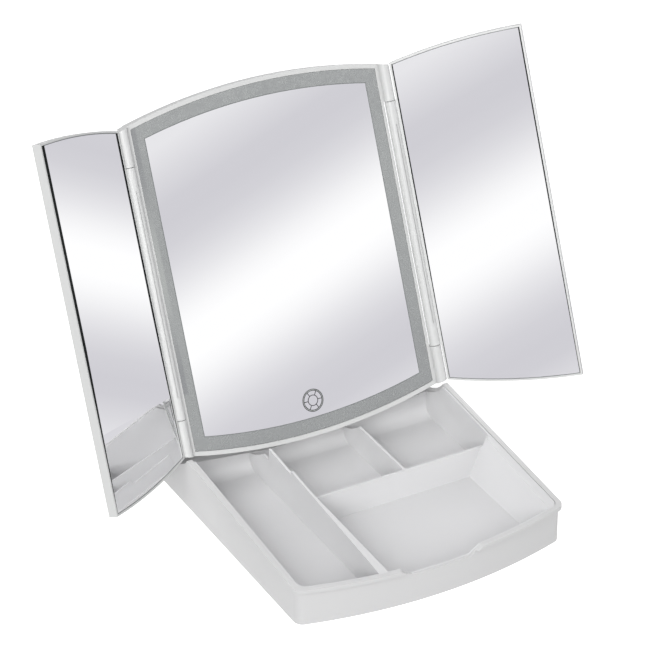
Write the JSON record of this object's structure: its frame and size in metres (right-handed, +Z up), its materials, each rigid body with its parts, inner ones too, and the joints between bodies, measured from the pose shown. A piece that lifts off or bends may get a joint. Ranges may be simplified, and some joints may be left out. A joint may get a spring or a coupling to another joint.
{
  "type": "tri-fold lighted vanity mirror",
  "caption": "Tri-fold vanity mirror with a frosted light band, on a wedge-shaped organiser base whose compartments it closes over.",
  "frame": {"origin": "centre of the underside of the base, on the surface that it stands on", "axes": "+Z up, +X to the right of a person facing the mirror, -Y towards that person"},
  "size_m": [0.3936, 0.2908, 0.3035],
  "materials": {
    "shell_white": "satin moulded white plastic",
    "tray_white": "smooth moulded white plastic",
    "frame_white": "satin moulded white plastic",
    "mirror_glass": "silvered glass",
    "diffuser": "frosted translucent band",
    "reflector_white": "matt white moulding",
    "led_strip": "flexible strip with light chips",
    "steel": "plain steel",
    "rubber": "dark matt rubber",
    "cell": "wrapped cell",
    "contact": "plated spring brass",
    "board": "solder-masked board",
    "copper": "copper foil",
    "foam": "thin foam tape",
    "washer": "acetal friction washer"
  },
  "bodies": {
    "base": {"base_shell": "shell_white", "base_plate": "shell_white", "base_screws": "steel", "rubber_feet": "rubber", "organizer_tray": "tray_white", "left_hinge_arm": "shell_white", "right_hinge_arm": "shell_white"},
    "head": {"front_frame": "frame_white", "centre_mirror": "mirror_glass", "light_diffuser": "diffuser", "reflector": "reflector_white", "led_strip": "led_strip", "back_cover": "frame_white", "cover_screws": "steel", "battery_door": "frame_white", "batteries": "cell", "battery_contacts": "contact", "driver_board": "board", "touch_sensor": "copper", "friction_washers": "washer", "left_hinge_block": "frame_white", "right_hinge_block": "frame_white", "left_tilt_pin": "steel", "right_tilt_pin": "steel", "left_wing_pins": "steel", "right_wing_pins": "steel"},
    "left_wing": {"left_wing_frame": "frame_white", "left_wing_mirror": "mirror_glass", "left_wing_adhesive": "foam", "left_wing_back": "frame_white"},
    "right_wing": {"right_wing_frame": "frame_white", "right_wing_mirror": "mirror_glass", "right_wing_adhesive": "foam", "right_wing_back": "frame_white"}
  },
  "joints": [
    {"name": "mirror_tilt", "type": "hinge", "parent": "base", "child": "head", "pos_m": [0, 0.07179, 0.07565], "axis": [1, 0, 0], "range_deg": [-8, 117.1]},
    {"name": "left_wing_fold", "type": "hinge", "parent": "head", "child": "left_wing", "pos_m": [-0.107, 0.0837, 0.15704], "axis": [0, 0.3822, 0.9241], "range_deg": [-35.5, 144.5]},
    {"name": "right_wing_fold", "type": "hinge", "parent": "head", "child": "right_wing", "pos_m": [0.107, 0.0837, 0.15704], "axis": [0, -0.3822, -0.9241], "range_deg": [-35.5, 144.5]}
  ]
}
